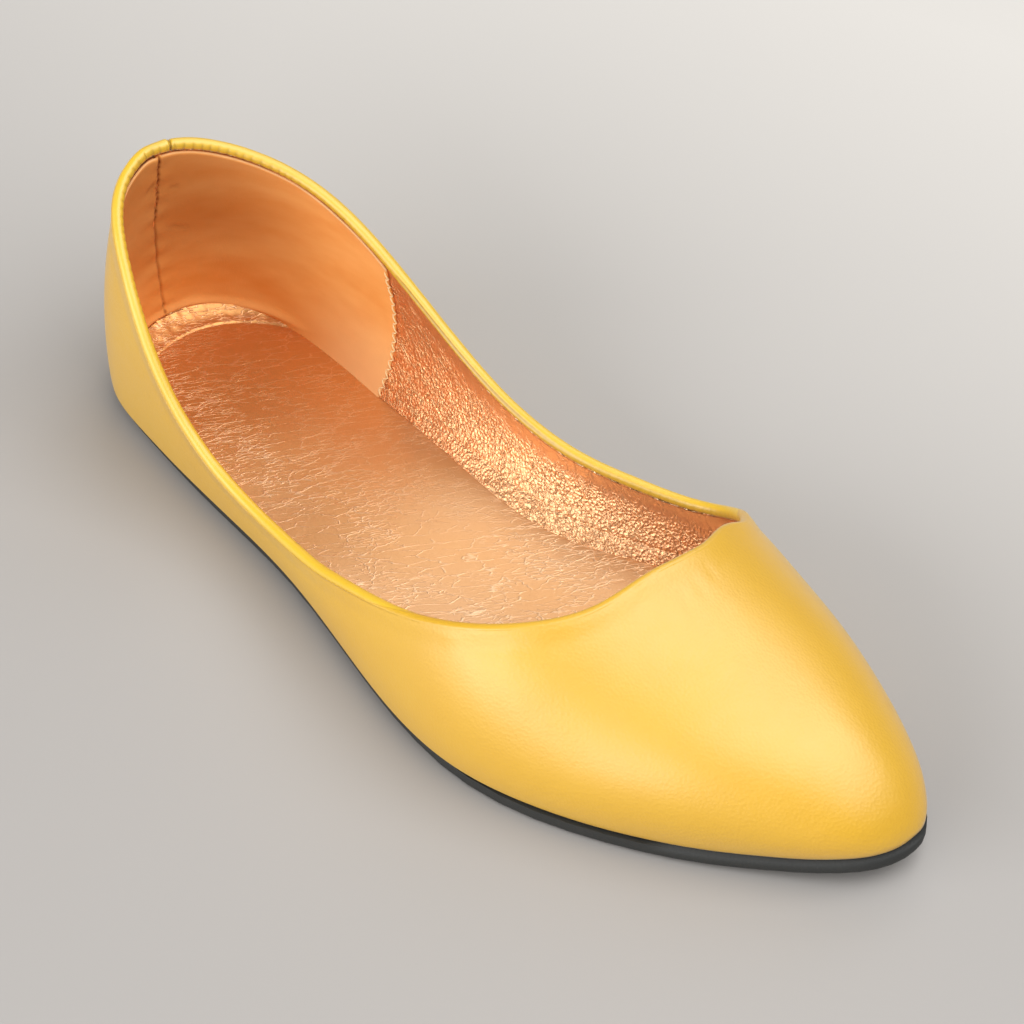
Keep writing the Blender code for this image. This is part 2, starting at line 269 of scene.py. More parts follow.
def cut_panel(name, places, closed, shade=None):
    """A grid primitive with its points moved to places, (rows, columns, 3), and its ends joined if closed.

    shade is a value for each point, kept as an attribute that a material can read.
    """
    rows, columns = places.shape[:2]
    bpy.ops.object.select_all(action="DESELECT")
    bpy.ops.mesh.primitive_grid_add(x_subdivisions=columns - 1, y_subdivisions=rows - 1, size=1)
    panel = bpy.context.object
    panel.name = name
    panel.data.name = name
    panel.data.vertices.foreach_set("co", places.astype(np.float32).ravel())
    if shade is not None:
        layer = panel.data.attributes.new("shade", "FLOAT", "POINT")
        layer.data.foreach_set("value", shade.astype(np.float32).ravel())
    panel.data.update()
    if closed:
        bpy.ops.object.mode_set(mode="EDIT")
        bpy.ops.mesh.select_all(action="SELECT")
        bpy.ops.mesh.remove_doubles(threshold=WELD)
        bpy.ops.object.mode_set(mode="OBJECT")
    bpy.ops.object.shade_smooth()
    return panel


def thicken(panel, thickness, even=True):
    """Gives a panel its thickness, behind the face that it has."""
    pick(panel)
    wall = panel.modifiers.new("thickness", "SOLIDIFY")
    wall.thickness = thickness
    wall.offset = -1
    wall.use_even_offset = even
    bpy.ops.object.modifier_apply(modifier=wall.name)


# A crease is a soft trough from start to end. width is half of what it spans across, and depth is how far it
# sinks, or rises where it is negative. It fades towards both ends.
Crease = namedtuple("Crease", "start end width depth")
CREASE_FADE = 1.3
CREASE_REACH = 0.7
CREASE_MARGIN = 0.010
CREASES = [
    Crease((0.0300, -0.0388, 0.0368), (0.0400, -0.0316, 0.0416), 0.0042, 0.00016),
    Crease((0.0225, -0.0392, 0.0360), (0.0285, -0.0358, 0.0405), 0.0040, -0.00012),
    Crease((0.0440, -0.0275, 0.0435), (0.0490, -0.0210, 0.0450), 0.0034, 0.00008),
    Crease((0.0570, 0.0060, 0.0480), (0.0640, 0.0020, 0.0450), 0.0012, 0.00012),
    Crease((0.0555, 0.0105, 0.0480), (0.0625, 0.0075, 0.0450), 0.0011, 0.00012),
    Crease((0.0545, 0.0150, 0.0475), (0.0610, 0.0130, 0.0450), 0.0011, 0.00010),
    Crease((-0.0600, -0.0400, 0.0300), (-0.0350, -0.0370, 0.0180), 0.0050, 0.00020),
    Crease((-0.0100, 0.0330, 0.0180), (0.0120, 0.0400, 0.0120), 0.0045, 0.00020),
]


def crease_depth(points, outwards, crease):
    """How deep a crease is at each point."""
    start = np.array(crease.start)
    run = np.array(crease.end) - start
    share = ((points - start) @ run) / (run @ run)
    away = points - start - np.clip(share, 0, 1)[..., None] * run
    away = away - (away * outwards).sum(axis=-1, keepdims=True) * outwards
    fade = soft(CREASE_FADE - CREASE_FADE * np.abs(2 * share - 1))
    from_middle = np.linalg.norm(points - start - 0.5 * run, axis=-1)
    near = from_middle < CREASE_REACH * np.linalg.norm(run) + CREASE_MARGIN
    return crease.depth * gauss(np.linalg.norm(away, axis=-1), crease.width) * fade * near


def sink(points, outwards, creases):
    """Moves points in by the creases near them."""
    depth = sum(crease_depth(points, outwards, crease) for crease in creases)
    return points - depth[..., None] * outwards


def srgb(code):
    """A linear colour from a sRGB hex code."""
    values = [int(code[i:i + 2], 16) / 255 for i in (1, 3, 5)]
    return [v / 12.92 if v <= 0.04045 else ((v + 0.055) / 1.055) ** 2.4 for v in values] + [1]


def add_node(material, kind, inputs, **settings):
    """Adds a node with its settings, and sets its inputs or links them to other nodes' outputs."""
    node = material.node_tree.nodes.new("ShaderNode" + kind)
    for name, value in settings.items():
        setattr(node, name, value)
    for name, value in inputs.items():
        if isinstance(value, bpy.types.NodeSocket):
            material.node_tree.links.new(value, node.inputs[name])
        else:
            node.inputs[name].default_value = value
    return node


def new_material(name):
    """A material with no nodes yet."""
    material = bpy.data.materials.new(name)
    material.use_nodes = True
    material.node_tree.nodes.clear()
    return material


def smooth_calf(name, light, deep, pore_strength, dark=None, pale=None):
    """Aniline calf, plated smooth: tiny pores, a faint broad grain and a waxy satin gloss. Given dark and
    pale colours, it also takes painted shade and painted light from the shade attribute.
    """
    calf = new_material(name)
    place = add_node(calf, "TexCoord", {}).outputs["Object"]
    tone = add_node(calf, "TexNoise", {"Vector": place, "Scale": 1 / DYE_DRIFT, "Detail": 3.0})
    colour = add_node(
        calf, "Mix", {0: tone.outputs["Fac"], 6: srgb(deep), 7: srgb(light)}, data_type="RGBA"
    ).outputs[2]
    if dark:
        colour = shaded(calf, colour, dark, pale)
    pores = add_node(calf, "TexVoronoi", {"Vector": place, "Scale": 1 / PORE, "Randomness": 0.9})
    broad = add_node(calf, "TexNoise", {"Vector": place, "Scale": 1 / BROAD_GRAIN, "Detail": 4.0})
    fine_relief = add_node(
        calf,
        "Bump",
        {"Height": pores.outputs["Distance"], "Strength": pore_strength, "Distance": PORE_DEPTH},
    )
    relief = add_node(
        calf,
        "Bump",
        {
            "Height": broad.outputs["Fac"],
            "Strength": 0.35,
            "Distance": BROAD_GRAIN_DEPTH,
            "Normal": fine_relief.outputs["Normal"],
        },
    )
    shine = add_node(
        calf,
        "MapRange",
        {"Value": broad.outputs["Fac"], "From Min": 0.3, "From Max": 0.7, "To Min": 0.42, "To Max": 0.50},
    )
    shader = add_node(
        calf,
        "BsdfPrincipled",
        {
            "Base Color": colour,
            "Roughness": shine.outputs["Result"],
            "IOR": 1.5,
            "Normal": relief.outputs["Normal"],
            "Coat Weight": 1.0,
            "Coat IOR": 1.65,
            "Coat Roughness": 0.44,
            "Sheen Weight": 0.12,
            "Sheen Roughness": 0.4,
        },
    )
    add_node(calf, "OutputMaterial", {"Surface": shader.outputs["BSDF"]})
    return calf


even = np.linspace(0, RAYS, RAYS * SKIN_COLUMNS_PER_RAY + 1)
corner = np.linspace(CORNER_FROM, CORNER_TO, CORNER_COLUMNS)
around = np.unique(np.round(np.concatenate([even, corner]), 6))
edge_points, edge_outwards, edge_up = topline(around)
up_rows = np.linspace(0, 1, SKIN_ROWS + 1) ** SKIN_ROWS_CROWD
points, outwards = skin(around, np.tile(up_rows, (len(around), 1)))
points = sink(points, outwards, CREASES)
below_edge = np.einsum("nmk,nk->nm", edge_points[:, None] - points, edge_up)
swell = (ROLL_RADIUS - ROLL_INSET) * soft(1 - (below_edge + ROLL_LIFT) / (ROLL_LIFT + SWELL_REACH))
near_edge = np.linalg.norm(edge_points[:, None] - points, axis=-1) < 3 * SWELL_REACH
points += (swell * near_edge)[..., None] * outwards
lift = points[:, :, 2] - points[:, :1, 2]
tuck = TUCK_DEPTH * (1 - np.sqrt(1 - np.clip(1 - lift / TUCK_HEIGHT, 0, 1) ** 2))
points -= tuck[..., None] * outwards
lip_rise = ROLL_LIFT * np.array(LIP_SHARES)
lip_swell = (ROLL_RADIUS - ROLL_INSET) * soft((lip_rise + SWELL_REACH) / (ROLL_LIFT + SWELL_REACH))
lip = (
    edge_points[:, None]
    + lip_rise[None, :, None] * edge_up[:, None]
    + lip_swell[None, :, None] * edge_outwards[:, None]
)
outer_vamp = soft((edge_points[:, 0] - OUTER_COVER_FROM) / OUTER_COVER_FADE)
inner_vamp = soft((edge_points[:, 0] - INNER_COVER_FROM) / INNER_COVER_FADE)
cover = COVER_LEAST + COVER_TURN * np.where(edge_points[:, 1] > 0, inner_vamp, outer_vamp)
cover = cover[:, None, None] * np.linspace(COVER_FIRST_ROW, 1, COVER_ROWS)[None, :, None]
roll_middles = edge_points + ROLL_LIFT * edge_up - ROLL_INSET * edge_outwards
over = np.cos(cover) * edge_outwards[:, None] + np.sin(cover) * edge_up[:, None]
over = roll_middles[:, None] + COVER_RADIUS * over
points = np.concatenate([points, lip, over], axis=1)
leather = cut_panel("upper_leather", points.transpose(1, 0, 2), closed=True)
thicken(leather, LEATHER)
leather.data.materials.append(
    smooth_calf("smooth_calf", CALF_YELLOW, CALF_YELLOW_DEEP, pore_strength=0.5)
)
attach(leather, "root")
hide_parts("upper")

# Topline binding
# A strip of the same calf, folded over the edge and stitched into a round roll. It is one loop, and its ends
# meet in a notch at the back, a little to the inner side. Its inner half is drawn into small puckers by the
# stitches, and ahead of the heel grip a fold splits it in two.
ROLL_COLUMNS_PER_RAY = 14
ROLL_STEPS = 20
ROLL_START = math.radians(-2)
ROLL_END = math.radians(248)
ROLL_WALL = 0.0006
ROLL_UNEVEN = 0.00006
ROLL_LUMP = 0.005
# The roll's yellows are the upper's calf drawn brighter and more lemon: painted light on the roll.
ROLL_LIT_YELLOW = "#ECC020"
ROLL_LIT_YELLOW_DEEP = "#E6B616"
# The pale colour is a painted highlight and the olive one a painted shade.
PAINTED_HIGHLIGHT_PALE = "#FBE7A0"
PAINTED_SHADE_OLIVE = "#B08A1C"

# The notch, in metres along the roll, with columns of its own for JOIN_RAYS to either side.
JOIN_POINT = (-0.1206, 0.0066, 0.0690)
JOIN_RAYS = 0.18
JOIN_COLUMNS = 46
JOIN_WIDTH = 0.00040
JOIN_DEPTH = 0.0007
JOIN_LIP = 0.45

# The puckers, on the roll's inner half. They are deepest at the heel.
PUCKER_DEPTH = 0.00016
PUCKER_STEP = 0.0023
PUCKER_DRIFT = 0.0012
PUCKER_DRIFT_LUMP = 0.009
PUCKER_FRONT_SHARE = 0.35
PUCKER_HEEL = -0.085
PUCKER_HEEL_FADE = 0.02
INNER_HALF = math.radians(95)
INNER_HALF_FADE = math.radians(50)

# The fold, along the inner side from FOLD_BACK to FOLD_FRONT.
FOLD_TURN = math.radians(150)
FOLD_HALF = math.radians(9)
FOLD_DEPTH = 0.00038
FOLD_BACK = -0.068
FOLD_BACK_FADE = 0.006
FOLD_FRONT = 0.002
FOLD_FRONT_FADE = 0.03

# Painted shade and light on the roll: painted shade by its turn towards the foot, in the groove beside the
# leather, in the puckers, the fold and the notch, and a painted highlight on the notch's lip.
INWARD_DARK = 0.42
INWARD_TURN = math.radians(118)
INWARD_FADE = math.radians(40)
UNDER_DARK = 0.45
UNDER_TURN = math.radians(205)
UNDER_FADE = math.radians(25)
GROOVE_DARK = 0.5
GROOVE_HALF = math.radians(14)
GROOVE_END = 0.012
GROOVE_END_FADE = 0.02
PUCKER_DARK = 0.44
FOLD_DARK = 0.8
JOIN_DARK = 0.9
JOIN_LIP_PALE = 0.5


def shaded(material, base, dark, pale):
    """A colour that turns dark where the shade is below zero, and pale where it is above."""
    shade = add_node(material, "Attribute", {}, attribute_name="shade").outputs["Fac"]
    down = add_node(
        material,
        "MapRange",
        {"Value": shade, "From Min": 0.0, "From Max": -1.0, "To Min": 0.0, "To Max": 1.0},
    ).outputs["Result"]
    darker = add_node(material, "Mix", {0: down, 6: base, 7: srgb(dark)}, data_type="RGBA").outputs[2]
    up = add_node(
        material,
        "MapRange",
        {"Value": shade, "From Min": 0.0, "From Max": 1.0, "To Min": 0.0, "To Max": 1.0},
    ).outputs["Result"]
    return add_node(material, "Mix", {0: up, 6: darker, 7: srgb(pale)}, data_type="RGBA").outputs[2]


even = np.linspace(0, RAYS, RAYS * ROLL_COLUMNS_PER_RAY + 1)
edge_points = topline(even)[0]
join_at = even[np.argmin(np.linalg.norm(edge_points - np.array(JOIN_POINT), axis=1))]
at_join = join_at + np.linspace(-JOIN_RAYS, JOIN_RAYS, JOIN_COLUMNS)
around = np.unique(np.round(np.concatenate([even, at_join]), 6))
edge_points, edge_outwards, edge_up = topline(around)
middles = edge_points + ROLL_LIFT * edge_up - ROLL_INSET * edge_outwards
length = run_length(middles)
from_join = np.abs(length - np.interp(join_at, around, length))
join_groove = JOIN_DEPTH * gauss(from_join, JOIN_WIDTH)
past_join = around < join_at
join_lip = JOIN_LIP * JOIN_DEPTH * np.exp(-from_join / (4 * JOIN_WIDTH)) * np.where(past_join, 0, 1)
turns = np.linspace(ROLL_START, ROLL_END, ROLL_STEPS)
spokes = (
    np.cos(turns)[None, :, None] * edge_outwards[:, None] + np.sin(turns)[None, :, None] * edge_up[:, None]
)
inner_half = soft((turns - INNER_HALF) / INNER_HALF_FADE)[None]
drift = wander(middles, PUCKER_DRIFT_LUMP, seed=2.0)[:, None]
pucker = np.abs(np.sin(math.pi * (length[:, None] + PUCKER_DRIFT * drift) / PUCKER_STEP))
at_heel = soft((PUCKER_HEEL - middles[:, 0]) / PUCKER_HEEL_FADE)
heel_share = PUCKER_FRONT_SHARE + (1 - PUCKER_FRONT_SHARE) * at_heel
pucker_depth = PUCKER_DEPTH * heel_share[:, None] * inner_half * (1 - pucker) ** 2
fold_share = soft((middles[:, 0] - FOLD_BACK) / FOLD_BACK_FADE)
fold_share = fold_share * soft((FOLD_FRONT - middles[:, 0]) / FOLD_FRONT_FADE) * (middles[:, 1] > 0)
fold = FOLD_DEPTH * fold_share[:, None] * gauss(turns[None] - FOLD_TURN, FOLD_HALF)
rough = ROLL_UNEVEN * wander(middles[:, None] + ROLL_RADIUS * spokes, ROLL_LUMP)
radius = ROLL_RADIUS + rough - pucker_depth - fold + (join_lip - join_groove)[:, None]
roll_points = middles[:, None] + radius[..., None] * spokes
# Painted shade on the inner and under side, in the groove, puckers, fold and notch; painted highlight on the
# notch's lip.
shade = -INWARD_DARK * soft((turns - INWARD_TURN) / INWARD_FADE)[None] * np.ones((len(around), 1))
shade -= UNDER_DARK * soft((turns - UNDER_TURN) / UNDER_FADE)[None]
off_vamp = (1 - soft((middles[:, 0] - GROOVE_END) / GROOVE_END_FADE))[:, None]
shade -= GROOVE_DARK * off_vamp * gauss(turns, GROOVE_HALF)[None]
shade -= PUCKER_DARK * pucker_depth / PUCKER_DEPTH + FOLD_DARK * fold / FOLD_DEPTH
shade -= (JOIN_DARK * join_groove / JOIN_DEPTH)[:, None]
shade += (JOIN_LIP_PALE * join_lip / JOIN_DEPTH)[:, None]
roll = cut_panel("topline_binding_roll", roll_points.transpose(1, 0, 2), closed=True, shade=shade.T)
thicken(roll, ROLL_WALL)
roll.data.materials.append(
    smooth_calf(
        "folded_calf",
        ROLL_LIT_YELLOW,
        ROLL_LIT_YELLOW_DEEP,
        pore_strength=0.25,
        dark=PAINTED_SHADE_OLIVE,
        pale=PAINTED_HIGHLIGHT_PALE,
    )
)
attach(roll, "root")
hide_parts("topline_binding")

# Foil lining
# Thin kid with copper foil pressed on it, glued to the inside of the whole upper. The foil crinkles as the
# shoe is lasted: in slanting wrinkles beside the heel grip, and in fine pebbles further forward. It stays
# smooth along the topline and at the throat's corner. A stitched seam runs round it just above the sock.
LINING_DEPTH = 0.0018
LINING_THICKNESS = 0.0005
LINING_EDGE_RISE = 0.0004
LINING_COLUMNS_PER_RAY = 6
LINING_ROWS = 60
SEAM_HEIGHT = 0.0046
SEAM_WIDTH = 0.00035
SEAM_DEPTH = 0.0002
EDGE_TOOTH = 0.0011
TOOTH_DEPTH = 0.0002

# The wrinkles: large ones are in the mesh, slanting beside the grip, and the finest are in the material.
LINING_LAY = math.radians(51)
CRINKLE = 0.00013
CRINKLE_LONG = 0.0085
CRINKLE_SHORT = 0.0024
SLANTED_SHARE = 1.5
BESIDE_GRIP = -0.052
BESIDE_GRIP_FADE = 0.03
PEBBLED_SHARE = 0.2
PEBBLED_LUMP = 0.0022
TOPLINE_CALM = 0.25
TOPLINE_CALM_TO = 0.0025
TOPLINE_CALM_FADE = 0.005
THROAT_CALM = 0.8
THROAT_CALM_FROM = 0.022
THROAT_CALM_FADE = 0.022
THROAT_CALM_HEIGHT = 0.010
CUT_EDGE_SHADE = 2.0

# The foil's hairlines and pebbles are about 0.2 mm, too fine to show, so they are drawn 0.8 to 1.1 mm apart.
FOIL_COPPER = "#F2B076"
FOIL_ROSE = "#F6C596"
# The gold is a painted glint along the hairlines.
FOIL_GLINT_GOLD = "#FBD6A0"
FOIL_CUT = "#FBDDB4"
FOIL_PATCH = 0.016
FOIL_DRIFT = 0.03
# The foil is darker towards the seat and paler forward: its own tone with painted shade at the seat and
# painted reflection forward.
SEAT_COLOUR_TO = -0.105
FRONT_COLOUR_FROM = -0.015


def copper_foil(
    name, dark, light, turn, long, short, pebble, pebble_share, relief, glint, metallic, roughness
):
    """Copper foil on kid: metallic, with hairline wrinkles that lie one way and carry painted glints, and
    fine pebbles.

    The shade attribute is how strongly the foil is wrinkled there, and above 1.2 it marks a pale cut edge.
    """
    foil = new_material(name)
    place = add_node(foil, "TexCoord", {}).outputs["Object"]
    shade = add_node(foil, "Attribute", {}, attribute_name="shade").outputs["Fac"]
    laid = add_node(
        foil,
        "Mapping",
        {"Vector": place, "Rotation": turn, "Scale": (long, short, short)},
        vector_type="TEXTURE",
    ).outputs["Vector"]
    bend = add_node(foil, "TexNoise", {"Vector": laid, "Scale": 0.9, "Detail": 1.0}).outputs["Color"]
    warped = add_node(
        foil, "VectorMath", {0: bend, 1: (0.7, 0.7, 0.7), 2: laid}, operation="MULTIPLY_ADD"
    ).outputs["Vector"]
    cells = add_node(
        foil,
        "TexVoronoi",
        {"Vector": warped, "Scale": 1.0, "Randomness": 1.0},
        feature="DISTANCE_TO_EDGE",
    ).outputs["Distance"]
    wide_cells = add_node(
        foil,
        "TexVoronoi",
        {"Vector": warped, "Scale": 0.4, "Randomness": 1.0},
        feature="DISTANCE_TO_EDGE",
    ).outputs["Distance"]
    breaks = add_node(foil, "TexNoise", {"Vector": laid, "Scale": 0.8, "Detail": 2.0}).outputs["Fac"]
    patches = add_node(
        foil, "TexNoise", {"Vector": place, "Scale": 1 / FOIL_PATCH, "Detail": 2.0}
    ).outputs["Fac"]
    hairlines = add_node(
        foil,
        "MapRange",
        {"Value": cells, "From Min": 0.0, "From Max": 0.07, "To Min": 1.0, "To Max": 0.0},
        interpolation_type="SMOOTHSTEP",
    ).outputs["Result"]
    patchy = add_node(
        foil,
        "MapRange",
        {"Value": patches, "From Min": 0.40, "From Max": 0.58, "To Min": 0.12, "To Max": 1.0},
        interpolation_type="SMOOTHSTEP",
    ).outputs["Result"]
    folds = add_node(
        foil,
        "MapRange",
        {"Value": wide_cells, "From Min": 0.0, "From Max": 0.035, "To Min": 0.9, "To Max": 0.0},
        interpolation_type="SMOOTHSTEP",
    ).outputs["Result"]
    unbroken = add_node(
        foil,
        "MapRange",
        {"Value": breaks, "From Min": 0.36, "From Max": 0.50, "To Min": 0.0, "To Max": 1.0},
        interpolation_type="SMOOTHSTEP",
    ).outputs["Result"]
    fine = add_node(foil, "Math", {0: hairlines, 1: patchy}, operation="MULTIPLY").outputs["Value"]
    either = add_node(foil, "Math", {0: fine, 1: folds}, operation="MAXIMUM").outputs["Value"]
    broken = add_node(foil, "Math", {0: either, 1: unbroken}, operation="MULTIPLY").outputs["Value"]
    lines = add_node(foil, "Math", {0: broken, 1: shade}, operation="MULTIPLY").outputs["Value"]
    pebbles = add_node(
        foil, "TexVoronoi", {"Vector": place, "Scale": 1 / pebble, "Randomness": 1.0}
    ).outputs["Distance"]
    grain = add_node(
        foil,
        "TexNoise",
        {"Vector": place, "Scale": 1 / (1.6 * pebble), "Detail": 4.0, "Roughness": 0.6},
    ).outputs["Fac"]
    rough = add_node(foil, "Math", {0: pebbles, 1: grain}, operation="ADD").outputs["Value"]
    crushed = add_node(foil, "Math", {0: rough, 1: shade}, operation="MULTIPLY").outputs["Value"]
    height = add_node(
        foil, "Math", {0: crushed, 1: pebble_share, 2: lines}, operation="MULTIPLY_ADD"
    ).outputs["Value"]
    bump = add_node(foil, "Bump", {"Height": height, "Strength": 1.0, "Distance": relief})
    drift = add_node(
        foil, "TexNoise", {"Vector": place, "Scale": 1 / FOIL_DRIFT, "Detail": 2.0}
    ).outputs["Fac"]
    ground = add_node(
        foil, "Mix", {0: drift, 6: srgb(dark[0]), 7: srgb(dark[1])}, data_type="RGBA"
    ).outputs[2]
    # Painted shade towards the seat and painted reflection forward, over the foil's own tone.
    along = add_node(foil, "SeparateXYZ", {"Vector": place}).outputs["X"]
    forward = add_node(
        foil,
        "MapRange",
        {
            "Value": along,
            "From Min": SEAT_COLOUR_TO,
            "From Max": FRONT_COLOUR_FROM,
            "To Min": 0.0,
            "To Max": 1.0,
        },
        interpolation_type="SMOOTHSTEP",
    ).outputs["Result"]
    wear_and_painted_light = add_node(foil, "Mix", {0: forward, 6: srgb(dark[0]), 7: ground}, data_type="RGBA").outputs[2]
    # Painted glint: the hairlines are lightened towards the light colour.
    lit = add_node(foil, "Math", {0: lines, 1: glint}, operation="MULTIPLY").outputs["Value"]
    colour = add_node(foil, "Mix", {0: lit, 6: wear_and_painted_light, 7: srgb(light)}, data_type="RGBA").outputs[2]
    cut = add_node(
        foil,
        "MapRange",
        {"Value": shade, "From Min": 1.2, "From Max": 1.8, "To Min": 0.0, "To Max": 1.0},
        interpolation_type="SMOOTHSTEP",
    ).outputs["Result"]
    edged = add_node(foil, "Mix", {0: cut, 6: colour, 7: srgb(FOIL_CUT)}, data_type="RGBA").outputs[2]
    shader = add_node(
        foil,
        "BsdfPrincipled",
        {
            "Base Color": edged,
            "Metallic": metallic,
            "Roughness": roughness,
            "Normal": bump.outputs["Normal"],
        },
    )
    add_node(foil, "OutputMaterial", {"Surface": shader.outputs["BSDF"]})
    return foil


around = np.linspace(0, RAYS, RAYS * LINING_COLUMNS_PER_RAY + 1)
edge_points, edge_outwards, edge_up = topline(around)
up_rows = np.linspace(0, 1, LINING_ROWS + 1)
points, outwards = skin(around, np.tile(up_rows, (len(around), 1)))
feather = points[:, :1, 2]
seam = SEAM_DEPTH * gauss(points[..., 2] - feather - SEAM_HEIGHT, SEAM_WIDTH)
below_edge = np.linalg.norm(points - edge_points[:, None], axis=-1)
crumpled = TOPLINE_CALM + (1 - TOPLINE_CALM) * soft((below_edge - TOPLINE_CALM_TO) / TOPLINE_CALM_FADE)
at_throat = soft((points[..., 0] - THROAT_CALM_FROM) / THROAT_CALM_FADE)
at_throat = at_throat * soft((points[..., 2] - THROAT_CALM_HEIGHT) / THROAT_CALM_HEIGHT)
crumpled *= 1 - THROAT_CALM * at_throat
slanted = np.stack([
    (points[..., 0] * math.cos(LINING_LAY) - points[..., 2] * math.sin(LINING_LAY)) / CRINKLE_LONG,
    (points[..., 0] * math.sin(LINING_LAY) + points[..., 2] * math.cos(LINING_LAY)) / CRINKLE_SHORT,
    points[..., 1] / CRINKLE_LONG,
], axis=-1)
beside_grip = SLANTED_SHARE * (1 - soft((points[..., 0] - BESIDE_GRIP) / BESIDE_GRIP_FADE))
wrinkled = beside_grip * wander(slanted, 1.0, seed=3.0)
pebbled = PEBBLED_SHARE * wander(points, PEBBLED_LUMP, seed=4.0)
crumple = crumpled * CRINKLE * (wrinkled + pebbled)
points = points - (LINING_DEPTH - seam + crumple)[..., None] * outwards
teeth = TOOTH_DEPTH * np.sin(2 * math.pi * run_length(edge_points) / EDGE_TOOTH)
top = edge_points + (LINING_EDGE_RISE + teeth)[:, None] * edge_up - LINING_DEPTH * edge_outwards
points = np.concatenate([points, top[:, None]], axis=1).transpose(1, 0, 2)
shade = np.concatenate([crumpled, np.full((len(around), 1), CUT_EDGE_SHADE)], axis=1).T
lining = cut_panel("foil_lining", points[:, ::-1], closed=True, shade=shade[:, ::-1])
thicken(lining, LINING_THICKNESS)
lining.data.materials.append(
    copper_foil(
        "copper_foil_lining",
        dark=(FOIL_COPPER, FOIL_ROSE),
        light=FOIL_GLINT_GOLD,
        turn=(0, LINING_LAY, 0),
        long=0.0040,
        short=0.0011,
        pebble=0.0008,
        pebble_share=1.0,
        relief=0.00019,
        glint=0.5,
        metallic=0.85,
        roughness=0.3,
    )
)
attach(lining, "root")

# Heel grip
# A piece of tan suede glued over the lining at the back. Its front edges stand nearly upright and are zigzag
# stitched to the foil, and a seam runs up its middle, where the stitches leave a row of holes with painted
# shade in them.
GRIP_DEPTH = 0.0024
GRIP_THICKNESS = 0.0006
GRIP_COLUMNS = 300
GRIP_COLUMNS_CROWD = 0.55
GRIP_ROWS = 130
GRIP_FOOT = 0.02
GRIP_FRONT_LOW = -0.0662
GRIP_FRONT_TOP = -0.0690
GRIP_FRONT_BULGE = 0.0012
GRIP_FRONT_STEPS = 400
GRIP_TOP = 0.040
GRIP_BACK = -0.105
SUEDE = "#E99746"
SUEDE_LIGHT = "#FAB96C"
# The dark colour is painted shade; the pale one is painted light and the paler cut top.
SUEDE_PAINTED_SHADE = "#823804"
SUEDE_PALE = "#F3C08C"
SUEDE_SHEEN = "#F5A863"

# The nap is brushed in streaks of 11 by 30 mm. Its fibres are finer than a pixel and are drawn 0.45 mm thick.
NAP_STREAK = (0.030, 0.030, 0.011)
NAP_FIBRE = 0.00045
NAP_DEPTH = 0.0002

# The middle seam: rows of (height, y), with one side of it standing proud as a flap, and stitch holes in it.
SEAM_PATH = (
    (0.004, 0.0038), (0.010, 0.0036), (0.030, 0.0023), (0.045, 0.0021), (0.052, 0.0030), (0.066, 0.0039)
)
SEAM_GROOVE = 0.00055
SEAM_HALF = 0.0005
STITCH_STEP = 0.0022
HOLE_HALF = 0.0006
HOLE_DEPTH = 0.0003
STITCHED_FROM = 0.045
STITCHED_FADE = 0.002
STITCHED_LOW_TO = 0.016
STITCHED_LOW_FADE = 0.003
SEAM_FOOT = 0.0095
SEAM_FOOT_FADE = 0.004
FLAP = 0.00045
FLAP_REACH = 0.006
SEAM_PUCKER = 0.00018
SEAM_PUCKER_REACH = 0.004
SEAM_PUCKER_STEP = 0.0065

# The lower hem, rows of (x, height), which stands proud where it is folded over the strip at the seat.
HEM_PATH = ((-0.126, 0.0105), (-0.116, 0.0085), (-0.100, 0.0082), (-0.090, 0.0080))
HEM_RISE = 0.0010
HEM_HALF = 0.0012
HEM_FRONT = -0.092
HEM_FADE = 0.015
UNDER_HEM = 0.0016
UNDER_HEM_EDGE = 0.0008
UNDER_HEM_FRONT = -0.100
UNDER_HEM_FADE = 0.01

# The suede hangs in broad waves, and has a few wrinkles and dents of its own.
SUEDE_WAVE = 0.00016
SUEDE_WAVE_LUMP = 0.012
SUEDE_WAVE_STRETCH = (1, 1, 1.6)
GRIP_MARKS = [
    Crease((-0.1228, 0.0032, 0.0611), (-0.1235, -0.0014, 0.0553), 0.0007, 0.00040),
    Crease((-0.1230, 0.0055, 0.0545), (-0.1216, 0.0100, 0.0545), 0.0008, 0.00022),
    Crease((-0.1246, 0.0035, 0.0420), (-0.1216, 0.0140, 0.0370), 0.0009, 0.00016),
    Crease((-0.1190, 0.0152, 0.0518), (-0.1160, 0.0190, 0.0508), 0.0012, -0.00010),
    Crease((-0.1248, 0.0080, 0.0140), (-0.1210, 0.0160, 0.0125), 0.0016, -0.00016),
]

# Painted shade and light: painted shade in the seam, its stitch holes, the dents, under the hem and towards
# the back, and painted light on the raised hem and towards the low front. Its cut top is paler.
SEAM_DARK = 0.30
HOLE_DARK = 0.75
LOW_HOLE_DARK = 0.6
MARK_DARK = 0.10
HEM_PALE = 0.15
UNDER_HEM_DARK = 0.5
TOP_PALE = 0.9
TOP_PALE_REACH = 0.0010
BACK_DARK = 0.42
BACK_DARK_FROM = -0.085
BACK_DARK_FADE = 0.035
BACK_DARK_FOOT = 0.012
BACK_DARK_FOOT_FADE = 0.03
FRONT_PALE = 0.6
FRONT_PALE_FROM = -0.105
FRONT_PALE_FADE = 0.03
FRONT_PALE_TOP = 0.034
FRONT_PALE_TOP_FADE = 0.03

STARTS = np.linspace(0, RAYS / 2, GRIP_FRONT_STEPS)


def grip_front(up_rows, side):
    """Where along the rays the grip's front edge lies at each height."""
    signed = STARTS * side
    found = []
    for up in up_rows:
        points = skin(signed, np.full((len(signed), 1), up))[0][:, 0]
        share = np.clip(points[:, 2] / GRIP_TOP, 0, 1)
        front = GRIP_FRONT_LOW + (GRIP_FRONT_TOP - GRIP_FRONT_LOW) * share ** 2
        front += GRIP_FRONT_BULGE * 4 * share * (1 - share)
        found.append(np.interp(0, points[:, 0] - front, STARTS))
    return np.array(found) * side


